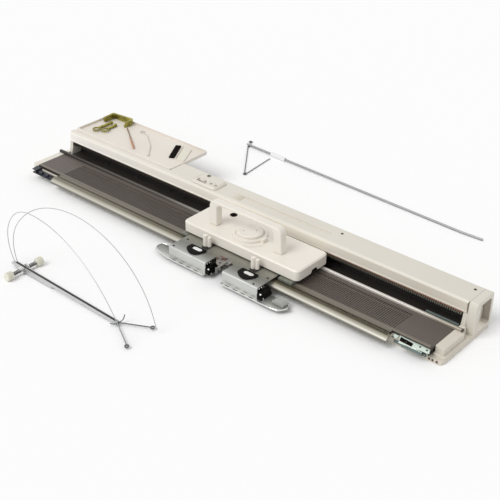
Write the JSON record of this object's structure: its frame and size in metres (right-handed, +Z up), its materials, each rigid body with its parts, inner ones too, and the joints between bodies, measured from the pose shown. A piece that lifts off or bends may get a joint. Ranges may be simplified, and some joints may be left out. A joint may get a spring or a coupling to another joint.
{
  "type": "domestic knitting machine",
  "caption": "Flat-bed domestic knitting machine: long grooved needle bed, sliding carriage with handle and sinker plate, rear housing with tool tray and console, loose mast rod, tension unit.",
  "frame": {"origin": "on the flat underside of the base, at the middle of its length and depth", "axes": "+X along the needle bed to the knitter's right, +Y from the knitter to the back, +Z up"},
  "size_m": [1.11, 0.7915, 0.1783],
  "materials": {
    "housing_cream": "satin moulded plastic",
    "base_cream": "satin moulded plastic",
    "carriage_cream": "satin moulded plastic",
    "bed_grey": "fine satin paint",
    "needle_steel": "bright drawn steel, dulled by use",
    "peg_steel": "plated",
    "rail_plated": "soft nickel plate",
    "bright_steel": "polished",
    "channel_black": "satin black paint",
    "stop_plated": "pale plated sheet",
    "tray_cream": "fine grain",
    "clamp_olive": "yellow passivated steel",
    "tool_brown": "drawn steel",
    "tool_white": "smooth",
    "pusher_black": "smooth",
    "window_dark": "clear tinted",
    "base_dark": "plain plated sheet",
    "sinker_steel": "brushed along its length",
    "frame_black": "smooth",
    "button_silver": "satin plated",
    "wheel_brush": "bristled",
    "wheel_rubber": "plain",
    "clear_shoe": "translucent",
    "socket_black": "plain",
    "tension_plate": "plated",
    "knob_cream": "satin moulded plastic",
    "slider_white": "smooth"
  },
  "bodies": {
    "machine": {"base_tray": "base_cream", "end_housing_right": "housing_cream", "end_housing_left": "housing_cream", "needle_bed": "bed_grey", "needles": "needle_steel", "gate_pegs": "peg_steel", "retainer_bar": "bed_grey", "front_rail": "rail_plated", "rear_rail": "bright_steel", "stop_plates": "stop_plated", "rear_cover": "housing_cream", "rear_channel": "channel_black", "channel_bar": "bright_steel", "cover_screws": "base_dark", "console_cover": "housing_cream", "console_window": "window_dark", "mast_socket": "socket_black", "tool_tray": "tray_cream", "clamp_frames": "clamp_olive", "clamp_screws": "clamp_olive", "latch_tool": "tool_brown", "transfer_tool": "tool_white", "needle_pusher": "pusher_black", "mast_rod": "bright_steel", "mast_slider": "slider_white", "yarn_guide": "bright_steel", "tension_bar": "tension_plate", "tension_discs": "bright_steel", "tension_springs": "bright_steel", "tension_wires": "bright_steel", "tension_arms": "bright_steel"},
    "carriage": {"carriage_base": "base_dark", "cam_plates": "base_dark", "front_shoes": "bright_steel", "carriage_cover": "carriage_cream", "carriage_handle": "carriage_cream", "tripper_socket": "socket_black", "sinker_plate": "sinker_steel", "guide_plates": "sinker_steel", "brush_frames": "frame_black", "yarn_feeder": "bright_steel", "clear_guide": "clear_shoe", "sinker_screws": "base_dark"},
    "stitch_dial_body": {"stitch_dial": "carriage_cream"},
    "cam_lever_body": {"cam_lever": "carriage_cream"},
    "connecting_screw_left_body": {"connecting_screw_left": "carriage_cream"},
    "connecting_screw_right_body": {"connecting_screw_right": "carriage_cream"},
    "brush_button_left_body": {"brush_button_left": "button_silver"},
    "brush_button_right_body": {"brush_button_right": "button_silver"},
    "brush_wheel_left_body": {"brush_wheel_left": "wheel_brush"},
    "brush_wheel_right_body": {"brush_wheel_right": "wheel_brush"},
    "rubber_wheel_left_body": {"rubber_wheel_left": "wheel_rubber"},
    "rubber_wheel_right_body": {"rubber_wheel_right": "wheel_rubber"},
    "feeder_gate_body": {"feeder_gate": "bright_steel"},
    "console_button_1_body": {"console_button_1": "housing_cream"},
    "console_button_2_body": {"console_button_2": "housing_cream"},
    "console_button_3_body": {"console_button_3": "housing_cream"},
    "console_button_4_body": {"console_button_4": "housing_cream"},
    "tension_knob_front_body": {"tension_knob_front": "knob_cream"},
    "tension_knob_rear_body": {"tension_knob_rear": "knob_cream"}
  },
  "joints": [
    {"name": "carriage_slide", "type": "slide", "parent": "machine", "child": "carriage", "axis": [1, 0, 0], "range_m": [-0.466, 0.29]},
    {"name": "stitch_dial_turn", "type": "hinge", "parent": "carriage", "child": "stitch_dial_body", "pos_m": [0.0775, -0.036, 0.062], "axis": [0, 0, 1], "range_deg": [-150, 150]},
    {"name": "cam_lever_turn", "type": "hinge", "parent": "carriage", "child": "cam_lever_body", "pos_m": [0.0775, -0.036, 0.06], "axis": [0, 0, 1], "range_deg": [-35, 35]},
    {"name": "connecting_screw_left_turn", "type": "hinge", "parent": "carriage", "child": "connecting_screw_left_body", "pos_m": [0.019, -0.0975, 0.04], "axis": [0, 0, 1], "range_deg": [-360, 0]},
    {"name": "connecting_screw_right_turn", "type": "hinge", "parent": "carriage", "child": "connecting_screw_right_body", "pos_m": [0.1445, -0.0975, 0.04], "axis": [0, 0, 1], "range_deg": [-360, 0]},
    {"name": "brush_button_left_press", "type": "slide", "parent": "carriage", "child": "brush_button_left_body", "axis": [0, 0, -1], "range_m": [0, 0.0015], "stiffness_N_per_m": 400},
    {"name": "brush_button_right_press", "type": "slide", "parent": "carriage", "child": "brush_button_right_body", "axis": [0, 0, -1], "range_m": [0, 0.0015], "stiffness_N_per_m": 400},
    {"name": "brush_wheel_left_spin", "type": "hinge", "parent": "carriage", "child": "brush_wheel_left_body", "pos_m": [-0.018, -0.127, 0.018], "axis": [0, 0, 1], "continuous": true},
    {"name": "brush_wheel_right_spin", "type": "hinge", "parent": "carriage", "child": "brush_wheel_right_body", "pos_m": [0.168, -0.127, 0.018], "axis": [0, 0, 1], "continuous": true},
    {"name": "rubber_wheel_left_spin", "type": "hinge", "parent": "carriage", "child": "rubber_wheel_left_body", "pos_m": [0.036, -0.127, 0.018], "axis": [0, 0, 1], "continuous": true},
    {"name": "rubber_wheel_right_spin", "type": "hinge", "parent": "carriage", "child": "rubber_wheel_right_body", "pos_m": [0.124, -0.127, 0.018], "axis": [0, 0, 1], "continuous": true},
    {"name": "feeder_gate_turn", "type": "hinge", "parent": "carriage", "child": "feeder_gate_body", "pos_m": [0.088, -0.118, 0.036], "axis": [0, 0, 1], "range_deg": [-45, 0]},
    {"name": "console_button_1_press", "type": "slide", "parent": "machine", "child": "console_button_1_body", "axis": [0, 0, -1], "range_m": [0, 0.0012], "stiffness_N_per_m": 300},
    {"name": "console_button_2_press", "type": "slide", "parent": "machine", "child": "console_button_2_body", "axis": [0, 0, -1], "range_m": [0, 0.0012], "stiffness_N_per_m": 300},
    {"name": "console_button_3_press", "type": "slide", "parent": "machine", "child": "console_button_3_body", "axis": [0, 0, -1], "range_m": [0, 0.0012], "stiffness_N_per_m": 300},
    {"name": "console_button_4_press", "type": "slide", "parent": "machine", "child": "console_button_4_body", "axis": [0, 0, -1], "range_m": [0, 0.0012], "stiffness_N_per_m": 300},
    {"name": "tension_knob_front_turn", "type": "hinge", "parent": "machine", "child": "tension_knob_front_body", "pos_m": [-0.221, -0.403, 0.009], "axis": [0, 1, 0], "range_deg": [-150, 150]},
    {"name": "tension_knob_rear_turn", "type": "hinge", "parent": "machine", "child": "tension_knob_rear_body", "pos_m": [-0.221, -0.331, 0.009], "axis": [0, 1, 0], "range_deg": [-150, 150]}
  ]
}
